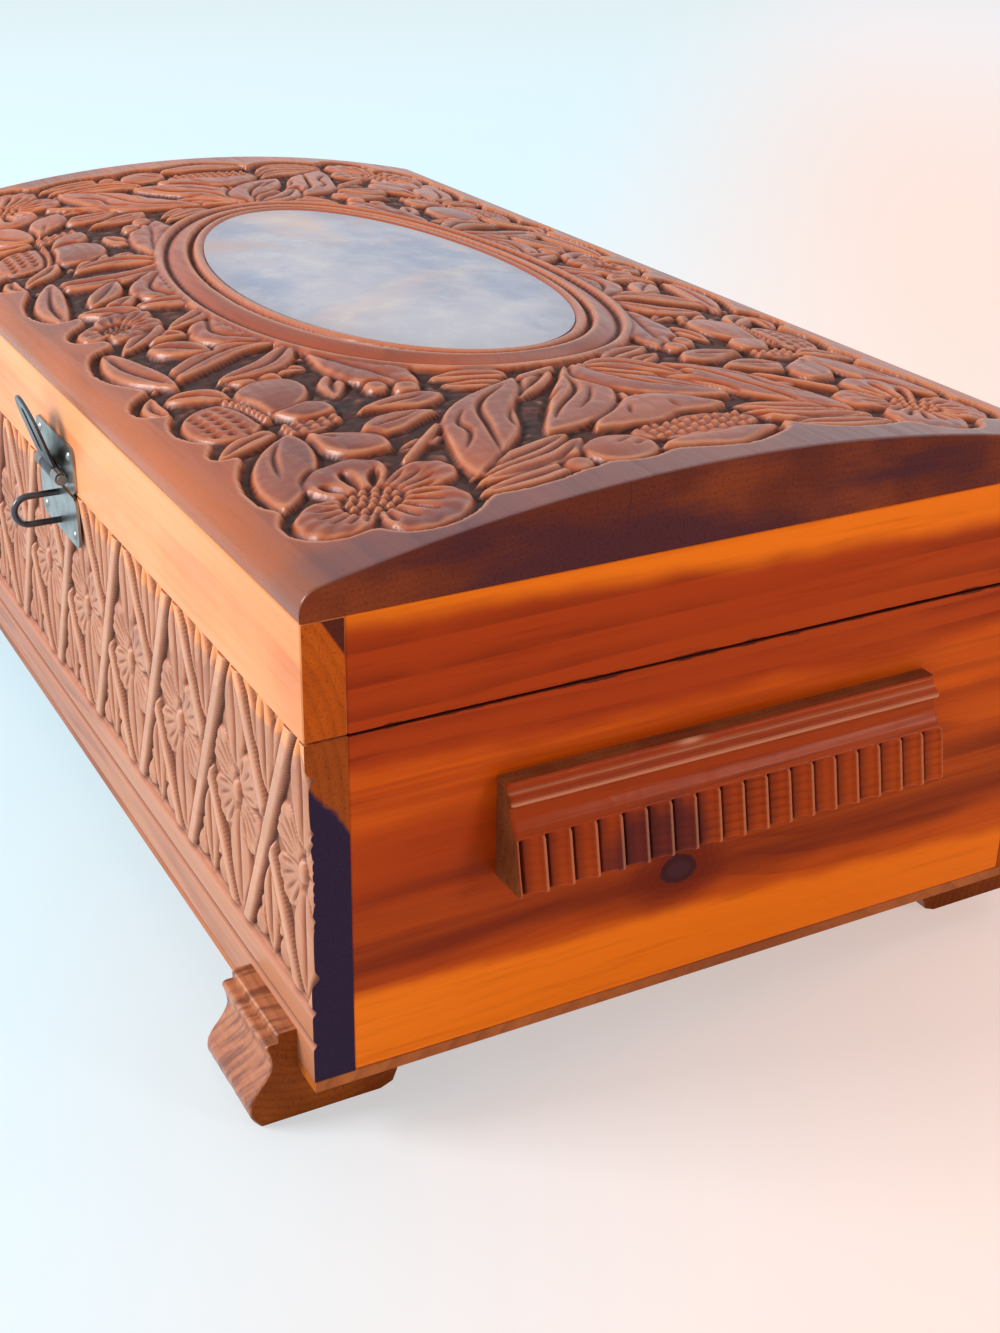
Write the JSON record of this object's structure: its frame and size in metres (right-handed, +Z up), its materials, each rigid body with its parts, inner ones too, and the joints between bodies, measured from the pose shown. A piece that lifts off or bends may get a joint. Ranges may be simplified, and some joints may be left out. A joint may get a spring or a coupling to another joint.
{
  "type": "keepsake box",
  "caption": "Long wooden keepsake box with an arched carved lid on rear hinges, a lattice-carved front, fluted end handles, ogee feet and a small hasp.",
  "frame": {"origin": "on the ground, under the middle of the overall bounding box", "axes": "+X along the length towards the right end as seen from the front, -Y out of the front board, +Z up"},
  "size_m": [0.384, 0.2258, 0.1415],
  "materials": {
    "carved_cedar": "carved, stained reddish brown and lacquered semi-gloss",
    "red_cedar": "knotty board, lacquered semi-gloss",
    "pale_cedar": "pale sapwood, lacquered satin",
    "dark_cedar": "moulded, stained brown and lacquered satin",
    "print": "thin coloured print under a clear satin coat",
    "plated_steel": "stamped, nickel plated, slightly dulled",
    "steel_wire": "plain steel, darkened"
  },
  "bodies": {
    "case": {"front_panel": "carved_cedar", "back_panel": "red_cedar", "left_end_panel": "red_cedar", "right_end_panel": "red_cedar", "base_board": "pale_cedar", "front_left_foot": "dark_cedar", "front_right_foot": "dark_cedar", "back_left_foot": "dark_cedar", "back_right_foot": "dark_cedar", "left_handle": "dark_cedar", "right_handle": "dark_cedar", "left_hinge_case_leaf": "plated_steel", "right_hinge_case_leaf": "plated_steel", "left_hinge_pin": "steel_wire", "right_hinge_pin": "steel_wire", "hinge_case_screws": "steel_wire", "staple_plate": "plated_steel", "wire_staple": "steel_wire", "staple_plate_nails": "steel_wire", "handle_screws": "steel_wire", "foot_screws": "steel_wire", "base_nails": "steel_wire"},
    "lid": {"lid_top_board": "carved_cedar", "lid_front_rail": "pale_cedar", "lid_back_rail": "red_cedar", "lid_left_rail": "red_cedar", "lid_right_rail": "red_cedar", "oval_print": "print", "left_hinge_lid_leaf": "plated_steel", "right_hinge_lid_leaf": "plated_steel", "hinge_lid_screws": "steel_wire", "hasp_lid_plate": "plated_steel", "hasp_pin": "steel_wire", "hasp_lid_nails": "steel_wire"},
    "strap": {"hasp_strap": "plated_steel"}
  },
  "joints": [
    {"name": "lid_hinge", "type": "hinge", "parent": "case", "child": "lid", "pos_m": [0, 0.1039, 0.0975], "axis": [-1, 0, 0], "range_deg": [0, 100]},
    {"name": "hasp_swing", "type": "hinge", "parent": "lid", "child": "strap", "pos_m": [0.012, -0.1011, 0.1009], "axis": [1, 0, 0], "range_deg": [-18, 162]}
  ]
}
